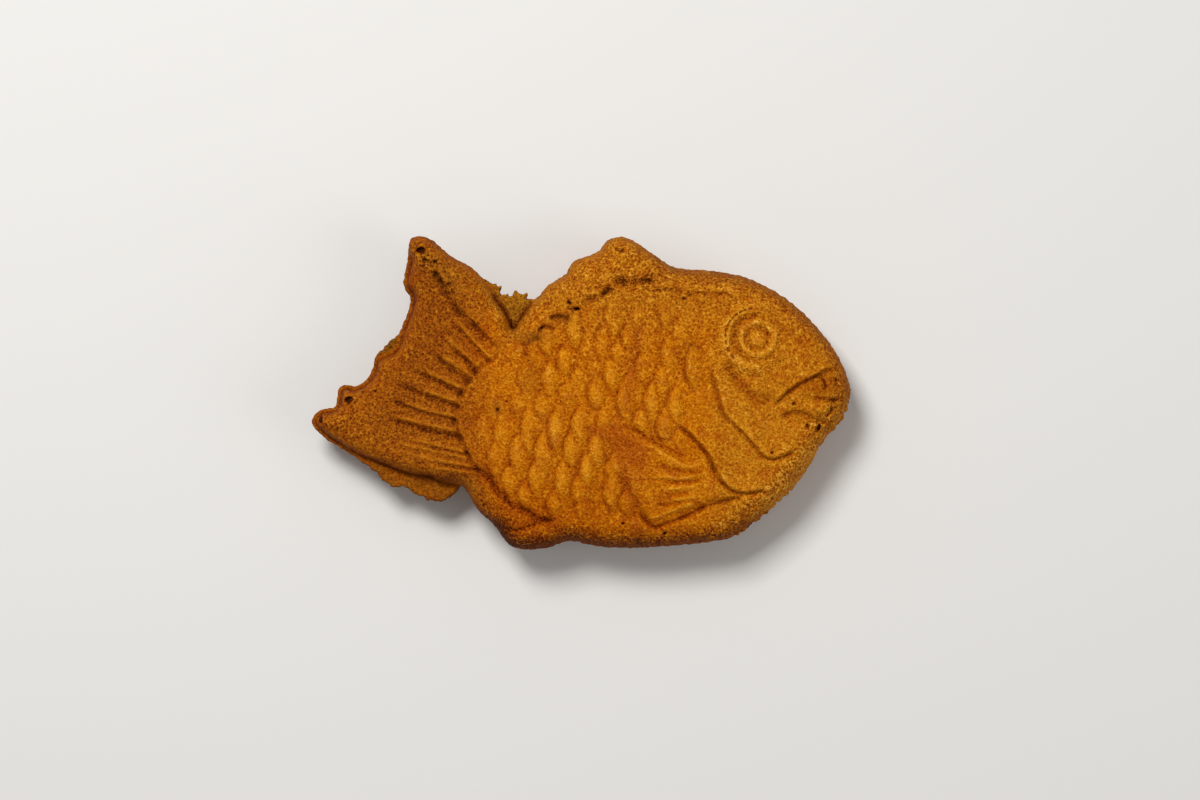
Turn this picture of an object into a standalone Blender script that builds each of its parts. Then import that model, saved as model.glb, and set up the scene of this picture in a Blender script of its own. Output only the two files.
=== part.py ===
"""Taiyaki: a fish-shaped cake of waffle batter, baked in a hinged iron mould, as one closed solid.

It lies on one flank: the tail towards -X, the head towards +X and the back towards +Y. Both flanks bear
the same relief, because the two halves of the mould do. Sizes are in millimetres, and become metres where
the mesh is made. The origin is under the middle of the fish, on the surface that it lies on.
"""

import math

import bpy
import numpy as np
from mathutils import Vector
from mathutils.geometry import delaunay_2d_cdt

MM = 0.001

# How the cake stands in height. A depth is measured from the seam, where the mould's halves met.
SEAM_HEIGHT = 13.0
BODY_DEPTH = 9.4
TAIL_DEPTH = 7.4
CROWN = 4.2
CROWN_MIDDLE = (14.0, -3.0)
CROWN_REACH = (54.0, 37.0)
CROWN_FALL = 1.4
CROWN_FLATNESS = 2.6
BODY_SIDE_RUN = 7.4
TAIL_SIDE_RUN = 5.0
SIDE_SQUARENESS = 2.2
TAIL_ROOT_X = -36.0
TAIL_BLEND = 13.0

# The outline of the mould's hollow at the seam, clockwise from the tip of the tail's upper lobe.
TAIL_UPPER_LOBE = [(-47.7, 42.2), (-45.8, 43.4), (-42.3, 42.6), (-36.7, 38.0), (-31.4, 35.0), (-27.6, 31.8),
                   (-24.1, 26.6), (-20.6, 21.4), (-19.0, 17.8)]
BACK_FIN = [(-17.4, 20.0), (-14.8, 23.8), (-11.5, 26.8), (-8.8, 30.0), (-4.2, 32.8), (-1.8, 36.4),
            (4.7, 39.1), (7.8, 42.4), (12.0, 43.2), (16.6, 40.9), (21.8, 37.2), (26.8, 34.5)]
HEAD = [(35.0, 33.9), (45.0, 32.2), (55.1, 27.4), (63.4, 20.6), (70.2, 12.3), (73.9, 5.0), (75.0, -1.0),
        (72.6, -7.6), (67.6, -13.6), (61.2, -24.0), (52.4, -32.8), (43.6, -39.4)]
BELLY = [(36.6, -41.3), (28.0, -42.3), (16.5, -43.1), (5.6, -42.8), (-3.1, -41.2), (-8.6, -42.8),
         (-14.4, -43.6), (-19.8, -42.4), (-23.8, -37.2), (-28.4, -32.8), (-31.4, -27.8)]
TAIL_LOWER_LOBE = [(-33.6, -25.8), (-42.3, -24.4), (-48.6, -23.4), (-56.0, -20.6), (-63.6, -17.4),
                   (-72.0, -12.0), (-75.0, -8.2), (-73.0, -5.3), (-68.6, -4.0), (-67.2, 1.4), (-62.2, 1.7),
                   (-58.6, 5.2), (-57.3, 9.4), (-52.2, 12.2), (-50.4, 17.0), (-47.4, 25.4), (-49.3, 30.2),
                   (-48.3, 36.6)]

# Flash: batter that ran out between the mould's halves. A thin lip goes all round, and sheets stand out
# in the notch over the tail, along its trailing edge and below it.
FLASH_HALF_THICKNESS = 0.7
FLASH_LIP = 0.35
FLASH_EDGE_RADIUS = 0.5
NOTCH_SHEET = [(-23.4, 29.2), (-20.5, 26.8), (-18.0, 28.0), (-15.5, 27.6), (-13.8, 25.9)]
TRAILING_SHEET = [(-57.0, 10.2), (-53.8, 13.4), (-51.6, 15.4)]
LOWER_SHEET = [(-36.2, -28.6), (-39.0, -30.0), (-41.8, -30.0), (-44.3, -29.1), (-46.8, -27.6), (-49.3, -26.0),
               (-52.6, -25.8), (-55.0, -24.4), (-57.0, -22.2)]

# Grooves of the tail's rays, each from its outer end to the fish's body.
TAIL_RAYS = [((-38.6, 22.4), (-25.5, 8.4)), ((-40.0, 15.6), (-29.2, 6.0)), ((-44.6, 11.9), (-31.6, 3.4)),
             ((-48.4, 7.6), (-33.8, -0.2)), ((-53.6, 3.0), (-34.6, -3.8)), ((-56.0, -2.2), (-35.2, -7.8)),
             ((-55.6, -7.0), (-34.4, -12.4)), ((-51.6, -11.6), (-32.8, -16.2)),
             ((-48.6, -17.6), (-31.4, -20.2))]
RAY_HALF_WIDTH = 0.85
RAY_DEPTH = 0.95
RAY_TAPER = 0.45
RIDGE_LIFT = 0.35

# Scales: lens-shaped bumps in a staggered net. Each is steep on the tail's side and slopes off to the head.
SCALE_PITCH = 7.4
SCALE_ROW = 6.9
SCALE_ORIGIN = (4.2, -3.0)
SCALE_STEEP_HALF = 1.8
SCALE_SLOPING_HALF = 5.4
SCALE_HALF_HEIGHT = 5.8
SCALE_BOW = 1.5
SCALE_HEIGHT = 1.35
SCALE_WANDER = 0.45
SCALES_ALONG = (-34.0, 31.0)
SCALES_ACROSS = (-36.0, 27.0)
SCALES_SOFT_EDGE = 5.0

# The fin on the fish's chest: a raised fan with its root at the gill cover, and rays that run back from it.
CHEST_FIN = [(2.8, -10.1), (8.4, -9.9), (14.0, -11.2), (20.0, -13.8), (29.0, -18.2), (36.0, -22.0),
             (43.5, -27.6), (36.0, -31.0), (28.0, -33.6), (20.8, -36.6), (17.4, -34.6), (13.2, -28.0),
             (10.8, -21.0), (7.6, -15.4)]
CHEST_FIN_LIFT = 0.75
CHEST_FIN_EDGE = 1.6
CHEST_RAYS = [((15.8, -16.4), (31.8, -22.6)), ((20.7, -23.6), (33.6, -25.0)), ((21.5, -27.4), (33.6, -27.6)),
              ((21.2, -31.6), (32.0, -30.4)), ((11.6, -13.6), (27.6, -19.4))]
CHEST_RAY_HALF_WIDTH = 0.6
CHEST_RAY_DEPTH = 0.5

# The eye: a round pupil in two raised rings. A ring is its radius, half width and height.
EYE = (48.8, 15.4)
EYE_RINGS = [(5.5, 1.0, 0.7), (8.2, 0.85, 0.55)]
PUPIL_RADIUS = 2.6
PUPIL_HEIGHT = 0.9
PUPIL_FLATNESS = 0.6

# Lines of the head, back and fins: the route, a groove's half width and depth, and the step up on its left.
LINES = {
    "gill_cover": ([(24.0, -8.4), (29.5, -11.2), (35.5, -16.4), (39.0, -23.0), (42.8, -28.4), (49.6, -27.6)],
                   1.0, 0.9, 0.9),
    "cheek": ([(35.8, 9.5), (37.2, 1.6), (39.6, -6.6), (44.5, -10.8), (49.5, -17.2), (53.5, -18.6),
               (61.5, -15.6)], 0.9, 0.7, 0.8),
    "jaw": ([(41.0, 7.0), (46.0, 2.4), (51.6, -2.2), (56.5, -1.6), (61.4, 1.6), (69.4, 5.6), (75.0, 6.4)],
            1.2, 1.0, 0.4),
    "lower_lip": ([(56.0, -7.0), (61.0, -6.6), (67.6, -7.8), (71.6, -8.9)], 0.8, 0.8, 0.0),
    "mouth": ([(64.6, -2.0), (69.0, -1.7), (75.6, -1.7)], 0.8, 1.0, 0.0),
    "back_fin_foot": ([(-18.6, 18.0), (-17.4, 14.2), (-11.6, 15.0), (-7.0, 20.4), (2.4, 22.6), (8.0, 26.6),
                       (16.5, 30.6), (22.5, 30.2)], 1.2, 1.1, 0.0),
    "back_edge": ([(19.0, 28.2), (27.0, 28.9), (33.0, 27.0), (43.0, 26.8)], 0.7, 0.5, 0.0),
    "belly_fin_foot": ([(-30.8, -23.5), (-24.4, -27.6), (-20.0, -31.0), (-13.9, -34.0), (-6.4, -36.4)],
                       1.1, 1.0, 0.0),
    "tail_root": ([(-22.2, 10.8), (-27.6, 7.6), (-33.0, 1.0), (-35.4, -5.6), (-35.2, -9.6), (-33.2, -14.4),
                   (-29.6, -21.4)], 0.9, 0.5, 0.7),
    "tail_upper_rim": ([(-41.8, 35.0), (-37.6, 28.3), (-31.1, 21.0), (-25.4, 13.6)], 1.1, 0.8, 0.5),
    "chest_fin_under": ([(17.4, -35.2), (20.6, -37.6), (26.8, -35.4), (35.0, -32.2), (43.4, -30.4),
                         (48.0, -29.0)], 0.8, 0.9, 0.0),
}
STEP_FADE = 5.0
LINE_TAPER = 0.12

# The mesh: the net's spacing, rings of points up the side, where relief starts and is full on the side, and
# the triangles that the finished solid keeps.
POINT_SPACING = 0.65
SIDE_RINGS = (0.25, 0.7, 1.4, 2.3, 3.4, 4.8)
CLEARANCE = 0.15
RELIEF_STARTS = 1.2
RELIEF_FULL = 4.4
TRIANGLES_KEPT = 10600
FLAT_SNAP = 0.03
TOUCHING = 1e-4
SHARP_ANGLE = math.radians(50)

CRUST_COLOUR = (0.45, 0.14, 0.008, 1.0)
CRUST_ROUGHNESS = 0.6


def clear_scene():
    for obj in list(bpy.data.objects):
        bpy.data.objects.remove(obj, do_unlink=True)


def spline(points, spacing, closed=False):
    """Points along a smooth curve through the given ones, about this far apart."""
    p = np.array(points, float)
    if closed:
        p = np.vstack([p[-1], p, p[0], p[1]])
    else:
        p = np.vstack([2 * p[0] - p[1], p, 2 * p[-1] - p[-2]])
    found = []
    for a, b, c, d in zip(p[:-3], p[1:-2], p[2:-1], p[3:]):
        count = max(2, round(np.linalg.norm(c - b) / spacing))
        t = np.arange(count)[:, None] / count
        found.append(b + 0.5 * t * (c - a + t * (2 * a - 5 * b + 4 * c - d + t * (3 * (b - c) + d - a))))
    if not closed:
        found.append(p[-2:-1])
    return np.vstack(found)


def nearest(points, line, closed=False):
    """Each point's distance to a line, its side (above 0 is left), and how far along the line it is."""
    start = line if closed else line[:-1]
    ahead = (np.roll(line, -1, axis=0) if closed else line[1:]) - start
    far = np.full(len(points), np.inf)
    side = np.zeros(len(points))
    along = np.zeros(len(points))
    for i, (s, a) in enumerate(zip(start, ahead)):
        gap = points - s
        t = np.clip(gap @ a / (a @ a), 0, 1)
        here = np.hypot(*(gap - t[:, None] * a).T)
        closer = here < far
        far[closer] = here[closer]
        side[closer] = np.sign(a[0] * gap[:, 1] - a[1] * gap[:, 0])[closer]
        along[closer] = ((i + t) / len(start))[closer]
    return far, side, along


def inside(points, line):
    """Which points lie inside a closed line."""
    crossed = np.zeros(len(points), bool)
    for (ax, ay), (bx, by) in zip(line, np.roll(line, -1, axis=0)):
        between = (ay > points[:, 1]) != (by > points[:, 1])
        reach = ax + (points[:, 1] - ay) * (bx - ax) / (by - ay if by != ay else 1.0)
        crossed ^= between & (points[:, 0] < reach)
    return crossed


def smooth(low, high, value):
    """0 up to low, 1 from high, and an even turn between them."""
    t = np.clip((value - low) / (high - low), 0, 1)
    return t * t * (3 - 2 * t)


def between(low, high, soft, value):
    """1 from low to high, and an even turn to 0 inside both ends."""
    return smooth(low, low + soft, value) * smooth(-high, soft - high, -value)


def depth_of_half(points, inward):
    """How far one half stands off the seam: its rounded side and the swell of its flank, without relief."""
    x, y = points.T
    body = smooth(TAIL_ROOT_X - TAIL_BLEND, TAIL_ROOT_X + TAIL_BLEND, x)
    off = np.hypot((x - CROWN_MIDDLE[0]) / CROWN_REACH[0], (y - CROWN_MIDDLE[1]) / CROWN_REACH[1])
    crown = CROWN * np.exp(-CROWN_FALL * off**CROWN_FLATNESS)
    full = TAIL_DEPTH + (BODY_DEPTH - TAIL_DEPTH + crown) * body
    run = TAIL_SIDE_RUN + (BODY_SIDE_RUN - TAIL_SIDE_RUN) * body
    turn = 1 - np.clip(inward / run, 0, 1)
    side = (1 - turn**SIDE_SQUARENESS) ** (1 / SIDE_SQUARENESS)
    return FLASH_HALF_THICKNESS + (full - FLASH_HALF_THICKNESS) * side


def ray_grooves(points, rays, half_width, depth):
    """Straight grooves that deepen from their outer ends towards the body."""
    held = np.zeros(len(points))
    for ray in rays:
        far, _, along = nearest(points, np.array(ray))
        held = np.maximum(held, np.exp(-((far / half_width) ** 2)) * smooth(0, RAY_TAPER, along))
    return -depth * held


def tail(points):
    """The tail's grooved rays, and the rounded ridges that stand between them."""
    outer = np.array([ray[0] for ray in TAIL_RAYS])
    inner = np.array([ray[1] for ray in TAIL_RAYS])
    middle = list(zip((outer[1:] + outer[:-1]) / 2, (inner[1:] + inner[:-1]) / 2))
    ridges = -ray_grooves(points, middle, 2 * RAY_HALF_WIDTH, RIDGE_LIFT)
    return ridges + ray_grooves(points, TAIL_RAYS, RAY_HALF_WIDTH, RAY_DEPTH)


def scales(points):
    """Rows of scales over the body. The highest of those that reach a point gives its height."""
    x, y = points.T
    x = x + SCALE_WANDER * np.sin(y / 5.3 + 1.0) + SCALE_WANDER * np.sin(x / 8.7)
    y = y + SCALE_WANDER * np.sin(x / 6.1 + 2.0) + SCALE_WANDER * np.sin(y / 9.3)
    row_here = np.round((y - SCALE_ORIGIN[1]) / SCALE_ROW).astype(int)
    column_here = np.round((x - SCALE_ORIGIN[0]) / (SCALE_PITCH / 2)).astype(int)
    height = np.zeros(len(points))
    for column in range(-3, 3):
        for row in range(-1, 2):
            r = row_here + row
            c = column_here + column
            dy = (y - SCALE_ORIGIN[1] - r * SCALE_ROW) / SCALE_HALF_HEIGHT
            dx = x - SCALE_ORIGIN[0] - c * SCALE_PITCH / 2 - SCALE_BOW * dy**2
            width = np.where(dx < 0, SCALE_STEEP_HALF, SCALE_SLOPING_HALF)
            bump = np.clip(1 - (dx / width) ** 2 - dy**2, 0, 1)
            height = np.maximum(height, np.where((r + c) % 2 == 0, bump, 0))
    shown = between(*SCALES_ALONG, SCALES_SOFT_EDGE, x) * between(*SCALES_ACROSS, SCALES_SOFT_EDGE, y)
    return SCALE_HEIGHT * (height - 0.5) * shown


def chest_fin(points):
    """The raised fan with its rays, and how far each point belongs to it."""
    edge = spline(CHEST_FIN, 1.0, closed=True)
    far, _, _ = nearest(points, edge, closed=True)
    held = smooth(0, CHEST_FIN_EDGE, far) * inside(points, edge)
    rays = ray_grooves(points, CHEST_RAYS, CHEST_RAY_HALF_WIDTH, CHEST_RAY_DEPTH)
    return held * CHEST_FIN_LIFT + rays, held


def eye(points):
    far = np.hypot(*(points - np.array(EYE)).T)
    height = PUPIL_HEIGHT * np.clip(1 - (far / PUPIL_RADIUS) ** 2, 0, 1) ** PUPIL_FLATNESS
    for radius, half_width, lift in EYE_RINGS:
        height = height + lift * np.exp(-(((far - radius) / half_width) ** 2))
    return height


def head_and_fin_lines(points):
    """The grooves that part the head's plates, lips and fins, with a raised edge where one overlaps."""
    height = np.zeros(len(points))
    for route, half_width, depth, step in LINES.values():
        far, side, along = nearest(points, spline(route, 1.5))
        groove = depth * np.exp(-((far / half_width) ** 2))
        raised = step * smooth(0, half_width, far) * np.exp(-far / STEP_FADE) * (side > 0)
        height += (raised - groove) * between(0, 1, LINE_TAPER, along)
    return height


def relief(points, inward):
    """The fish's own pattern, which dies away down the side."""
    fin_height, fin_held = chest_fin(points)
    height = tail(points) + scales(points) * (1 - fin_held) + fin_height + eye(points)
    height += head_and_fin_lines(points)
    return height * smooth(RELIEF_STARTS, RELIEF_FULL, inward)


def outwards(line):
    """The unit normals of a clockwise closed line, pointing out of it."""
    ahead = np.roll(line, -1, axis=0) - np.roll(line, 1, axis=0)
    return np.stack([-ahead[:, 1], ahead[:, 0]], 1) / np.hypot(*ahead.T)[:, None]


def flash_outline():
    """The seam's outer edge: the hollow's outline with the sheets of flash, and the lip round it all."""
    points = TAIL_UPPER_LOBE[:6] + NOTCH_SHEET + BACK_FIN[2:] + HEAD + BELLY + TAIL_LOWER_LOBE[:1]
    points = points + LOWER_SHEET + TAIL_LOWER_LOBE[4:12] + TRAILING_SHEET + TAIL_LOWER_LOBE[14:]
    line = spline(points, POINT_SPACING, closed=True)
    return line + FLASH_LIP * outwards(line)


def plan_points(outline, rim):
    """Points over the fish seen from above: the rim first, then rings up its side, then an even net."""
    flash_edge = rim - FLASH_EDGE_RADIUS * outwards(rim)
    kept = (nearest(flash_edge, outline, closed=True)[0] > CLEARANCE) & ~inside(flash_edge, outline)
    rings = [flash_edge[kept]]
    for ring in (0, *SIDE_RINGS):
        loose = outline - ring * outwards(outline)
        rings.append(loose[nearest(loose, outline, closed=True)[0] > ring - CLEARANCE / 2])
    rings = np.vstack(rings)
    rings = rings[inside(rings, rim) & (nearest(rings, rim, closed=True)[0] > CLEARANCE)]
    low, high = outline.min(0), outline.max(0)
    xs = np.arange(low[0], high[0], POINT_SPACING)
    ys = np.arange(low[1], high[1], POINT_SPACING * math.sqrt(3) / 2)
    gx, gy = np.meshgrid(xs, ys)
    gx[1::2] += POINT_SPACING / 2
    net = np.stack([gx.ravel(), gy.ravel()], 1)
    net = net[inside(net, outline)]
    net = net[nearest(net, outline, closed=True)[0] > SIDE_RINGS[-1] + POINT_SPACING / 2]
    return np.vstack([rim, rings, net])


def fish_mesh():
    """Two sheets over the same plan, one for each half of the mould, that share the points of the rim."""
    outline = spline(TAIL_UPPER_LOBE + BACK_FIN + HEAD + BELLY + TAIL_LOWER_LOBE, POINT_SPACING, closed=True)
    rim = flash_outline()
    points = plan_points(outline, rim)
    border = [list(range(len(rim)))]
    flat, _, faces, *_ = delaunay_2d_cdt([Vector(p) for p in points], [], border, 1, TOUCHING / 10)
    points = np.array([tuple(p) for p in flat])
    to_rim = nearest(points, rim, closed=True)[0]
    on_rim = to_rim < TOUCHING
    faces = [face for face in faces if not on_rim[list(face)].all()]
    inward = nearest(points, outline, closed=True)[0] * inside(points, outline)
    rounding = np.sqrt(1 - (1 - np.clip(to_rim / FLASH_EDGE_RADIUS, 0, 1)) ** 2)
    depth = (depth_of_half(points, inward) + relief(points, inward)) * rounding
    depth[on_rim] = 0
    points -= (rim.min(0) + rim.max(0)) / 2
    top = np.column_stack([points, SEAM_HEIGHT + depth])
    bottom = np.column_stack([points, np.maximum(SEAM_HEIGHT - depth, 0)])[~on_rim]
    lower = np.arange(len(points))
    lower[~on_rim] = len(points) + np.arange((~on_rim).sum())
    lower_faces = [tuple(int(lower[v]) for v in reversed(face)) for face in faces]
    mesh = bpy.data.meshes.new("taiyaki")
    mesh.from_pydata((np.vstack([top, bottom]) * MM).tolist(), [], list(faces) + lower_faces)
    mesh.validate()
    return mesh


def merge_flat_stretches(obj):
    """Merges the mesh's flatter stretches, and makes the spot that the fish lies on exactly flat."""
    thin = obj.modifiers.new("merge_flat_stretches", "DECIMATE")
    thin.ratio = TRIANGLES_KEPT / len(obj.data.polygons)
    bpy.context.view_layer.update()
    graph = bpy.context.evaluated_depsgraph_get()
    mesh = bpy.data.meshes.new_from_object(obj.evaluated_get(graph))
    obj.modifiers.remove(thin)
    for vertex in mesh.vertices:
        if vertex.co.z < FLAT_SNAP * MM:
            vertex.co.z = 0
    obj.data = mesh


def crust():
    """Baked waffle batter: golden brown, dry and a little rough."""
    material = bpy.data.materials.new("baked_crust")
    material.use_nodes = True
    shader = material.node_tree.nodes["Principled BSDF"]
    shader.inputs["Base Color"].default_value = CRUST_COLOUR
    shader.inputs["Roughness"].default_value = CRUST_ROUGHNESS
    shader.inputs["Metallic"].default_value = 0.0
    return material


def main():
    clear_scene()
    fish = bpy.data.objects.new("taiyaki", fish_mesh())
    bpy.context.scene.collection.objects.link(fish)
    merge_flat_stretches(fish)
    fish.data.materials.append(crust())
    fish.data.shade_smooth()
    fish.data.set_sharp_from_angle(angle=SHARP_ANGLE)


main()
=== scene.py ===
import math

import bpy
import numpy as np
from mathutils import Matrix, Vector, kdtree, noise
from mathutils.geometry import delaunay_2d_cdt


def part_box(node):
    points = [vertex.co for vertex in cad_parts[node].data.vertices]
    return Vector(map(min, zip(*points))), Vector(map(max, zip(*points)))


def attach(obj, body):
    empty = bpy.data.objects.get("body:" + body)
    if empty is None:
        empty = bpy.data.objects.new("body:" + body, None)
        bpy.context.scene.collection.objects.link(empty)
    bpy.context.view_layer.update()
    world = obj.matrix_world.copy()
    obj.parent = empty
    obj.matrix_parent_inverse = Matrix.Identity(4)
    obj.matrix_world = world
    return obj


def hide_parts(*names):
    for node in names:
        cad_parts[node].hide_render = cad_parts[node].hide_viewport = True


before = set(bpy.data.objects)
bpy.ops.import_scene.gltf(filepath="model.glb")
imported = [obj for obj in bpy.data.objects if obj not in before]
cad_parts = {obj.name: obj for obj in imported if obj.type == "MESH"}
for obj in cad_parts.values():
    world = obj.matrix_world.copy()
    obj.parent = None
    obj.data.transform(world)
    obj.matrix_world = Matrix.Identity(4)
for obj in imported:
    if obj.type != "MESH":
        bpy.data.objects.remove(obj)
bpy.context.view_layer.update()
MM = 0.001

# The cake's outline
# A taiyaki is waffle batter baked in a hinged iron mould whose two halves are cut like a fish. The outline is
# that of the hollow in the iron, at the seam where the halves met, clockwise from the tail's upper tip.
TAIL_UPPER_LOBE = [(-47.7, 42.2), (-45.8, 43.4), (-42.3, 42.6), (-36.7, 38.0), (-31.4, 35.0), (-27.6, 31.8),
                   (-24.1, 26.6), (-20.6, 21.4), (-19.0, 17.8)]
BACK_FIN = [(-17.4, 20.0), (-14.8, 23.8), (-11.5, 26.8), (-8.8, 30.0), (-4.2, 32.8), (-1.8, 36.4),
            (4.7, 39.1), (7.8, 42.4), (12.0, 43.2), (16.6, 40.9), (21.8, 37.2), (26.8, 34.5)]
HEAD = [(35.0, 33.9), (45.0, 32.2), (55.1, 27.4), (63.4, 20.6), (70.2, 12.3), (73.9, 5.0), (75.0, -1.0),
        (72.6, -7.6), (67.6, -13.6), (61.2, -24.0), (52.4, -32.8), (43.6, -39.4)]
BELLY = [(36.6, -41.3), (28.0, -42.3), (16.5, -43.1), (5.6, -42.8), (-3.1, -41.2), (-8.6, -42.8),
         (-14.4, -43.6), (-19.8, -42.4), (-23.8, -37.2), (-28.4, -32.8), (-31.4, -27.8)]
TAIL_LOWER_LOBE = [(-33.6, -25.8), (-42.3, -24.4), (-48.6, -23.4), (-56.0, -20.6), (-63.6, -17.4),
                   (-72.0, -12.0), (-75.0, -8.2), (-73.0, -5.3), (-68.6, -4.0), (-67.2, 1.4), (-62.2, 1.7),
                   (-58.6, 5.2), (-57.3, 9.4), (-52.2, 12.2), (-50.4, 17.0), (-47.4, 25.4), (-49.3, 30.2),
                   (-48.3, 36.6)]
MOULD_LENGTH = 150.0
SEGMENT = 0.8


def spline(points, spacing, closed=False):
    """Points along a smooth curve through the given ones, about this far apart."""
    p = np.array(points, float)
    if closed:
        p = np.vstack([p[-1], p, p[0], p[1]])
    else:
        p = np.vstack([2 * p[0] - p[1], p, 2 * p[-1] - p[-2]])
    found = []
    for a, b, c, d in zip(p[:-3], p[1:-2], p[2:-1], p[3:]):
        count = max(2, round(np.linalg.norm(c - b) / spacing))
        t = np.arange(count)[:, None] / count
        found.append(b + 0.5 * t * (c - a + t * (2 * a - 5 * b + 4 * c - d + t * (3 * (b - c) + d - a))))
    if not closed:
        found.append(p[-2:-1])
    return np.vstack(found)


def nearest(points, line, closed=False, reach=math.inf):
    """Each point's distance to a line, its side (above 0 is left), and how far along the line it is."""
    start = line if closed else line[:-1]
    ahead = (np.roll(line, -1, axis=0) if closed else line[1:]) - start
    far = np.full(len(points), 10 * MOULD_LENGTH)
    side = np.zeros(len(points))
    along = np.zeros(len(points))
    close = np.flatnonzero(((points > line.min(0) - reach) & (points < line.max(0) + reach)).all(axis=1))
    tree = kdtree.KDTree(len(line))
    for i, (x, y) in enumerate(line.tolist()):
        tree.insert((x, y, 0), i)
    tree.balance()
    corner = np.array([tree.find((x, y, 0))[1] for x, y in points[close].tolist()], int)
    for step in (-2, -1, 0, 1):
        i = (corner + step) % len(start) if closed else np.clip(corner + step, 0, len(start) - 1)
        gap, a = points[close] - start[i], ahead[i]
        t = np.clip((gap * a).sum(1) / (a * a).sum(1), 0, 1)
        here = np.hypot(*(gap - t[:, None] * a).T)
        closer = here < far[close]
        chosen = close[closer]
        far[chosen] = here[closer]
        side[chosen] = np.sign(a[:, 0] * gap[:, 1] - a[:, 1] * gap[:, 0])[closer]
        along[chosen] = ((i + t) / len(start))[closer]
    return far, side, along


def inside(points, line):
    """Which points lie inside a closed line."""
    crossed = np.zeros(len(points), bool)
    for (ax, ay), (bx, by) in zip(line, np.roll(line, -1, axis=0)):
        between = (ay > points[:, 1]) != (by > points[:, 1])
        reach = ax + (points[:, 1] - ay) * (bx - ax) / (by - ay if by != ay else 1.0)
        crossed ^= between & (points[:, 0] < reach)
    return crossed


def outwards(line):
    """The unit normals of a clockwise closed line, pointing out of it."""
    ahead = np.roll(line, -1, axis=0) - np.roll(line, 1, axis=0)
    return np.stack([-ahead[:, 1], ahead[:, 0]], 1) / np.hypot(*ahead.T)[:, None]


outline = spline(TAIL_UPPER_LOBE + BACK_FIN + HEAD + BELLY + TAIL_LOWER_LOBE, SEGMENT, closed=True)

# The flash
# Batter that ran out between the two irons and baked hard: a thin ragged lip all round the seam, and crisp
# sheets that stand out in the notch over the tail, along the tail's trailing edge and below it.
NOTCH_SHEET = [(-23.4, 29.2), (-20.5, 26.8), (-18.0, 28.0), (-15.5, 27.6), (-13.8, 25.9)]
TRAILING_SHEET = [(-57.0, 10.2), (-53.8, 13.4), (-51.6, 15.4)]
LOWER_SHEET = [(-36.2, -28.6), (-39.0, -30.0), (-41.8, -30.0), (-44.3, -29.1), (-46.8, -27.6), (-49.3, -26.0),
               (-52.6, -25.8), (-55.0, -24.4), (-57.0, -22.2)]
FLASH_LIP = 0.35
FLASH_HALF_THICKNESS = 0.7
FLASH_EDGE_RADIUS = 0.5
RIM_SPACING = 0.36
LIP_RAGGED = 0.24
CHIN_RAGGED = 0.6
SHEET_RAGGED = 0.55
NOTCH_RAGGED = 1.4
RAGGED_WAVE = 1.25
SHEET_RIPPLE = 0.5
RIPPLE_WAVE = 7.0
SHEET_FROM = 0.8
WALL_SET_BACK = 0.9
CHIN_SET_BACK = 0.3
WALL_SET_BACK_FADE = 2.5


def rough(points, wave, octaves=3, seed=0.0):
    """Uneven heights from about -1 to 1 at points in the plan or in space, with waves of this length."""
    places = np.zeros((len(points), 3))
    places[:, :points.shape[1]] = points
    places = places / wave + seed
    return np.array([noise.fractal(p, 1.0, 2.1, octaves) for p in places.tolist()])


def smooth(low, high, value):
    """0 up to low, 1 from high, and an even turn between them."""
    t = np.clip((value - low) / (high - low), 0, 1)
    return t * t * (3 - 2 * t)


# The flash's rim, where each sheet takes the place of the points of the outline that it covers.
mould_edge = TAIL_UPPER_LOBE[:6] + NOTCH_SHEET + BACK_FIN[2:] + HEAD + BELLY + TAIL_LOWER_LOBE[:1]
mould_edge += LOWER_SHEET + TAIL_LOWER_LOBE[4:12] + TRAILING_SHEET + TAIL_LOWER_LOBE[14:]
even_rim = spline(mould_edge, RIM_SPACING, closed=True)
chin = spline(HEAD[6:], SEGMENT)
tail_edge = spline(TAIL_LOWER_LOBE[1:], SEGMENT)
notch = spline(TAIL_UPPER_LOBE[6:] + BACK_FIN[:2], SEGMENT)


def near_routes(points, routes):
    """1 along some routes, fading out round their ends."""
    return np.max([smooth(WALL_SET_BACK_FADE, 0, nearest(points, route)[0]) for route in routes], axis=0)


on_sheet = smooth(SHEET_FROM, 2 * SHEET_FROM, nearest(even_rim, outline, closed=True)[0])
in_notch = near_routes(even_rim, [spline(NOTCH_SHEET, SEGMENT)])
ragged = LIP_RAGGED + (CHIN_RAGGED - LIP_RAGGED) * near_routes(even_rim, [chin])
ragged += (SHEET_RAGGED + (NOTCH_RAGGED - SHEET_RAGGED) * in_notch - ragged) * on_sheet
rim = even_rim + (FLASH_LIP + ragged * rough(even_rim, RAGGED_WAVE))[:, None] * outwards(even_rim)
set_back = np.maximum(CHIN_SET_BACK * near_routes(outline, [chin]),
                      WALL_SET_BACK * near_routes(outline, [tail_edge]))
wall = outline - set_back[:, None] * outwards(outline)

# The two halves
# Each iron gives one flank: straight, rounded sides and a slow swell over the filling. The tail is thinner.
# A depth is measured from the seam, and the cake lies on its lower flank, which has settled flat.
SEAM_HEIGHT = 13.0
BODY_DEPTH = 9.4
TAIL_DEPTH = 7.4
CROWN = 4.2
CROWN_MIDDLE = (14.0, -3.0)
CROWN_REACH = (54.0, 37.0)
CROWN_FALL = 1.4
CROWN_FLATNESS = 2.6
BODY_SIDE_RUN = 7.4
TAIL_SIDE_RUN = 5.0
SIDE_SQUARENESS = 2.2
TAIL_ROOT_X = -36.0
TAIL_BLEND = 13.0


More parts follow.
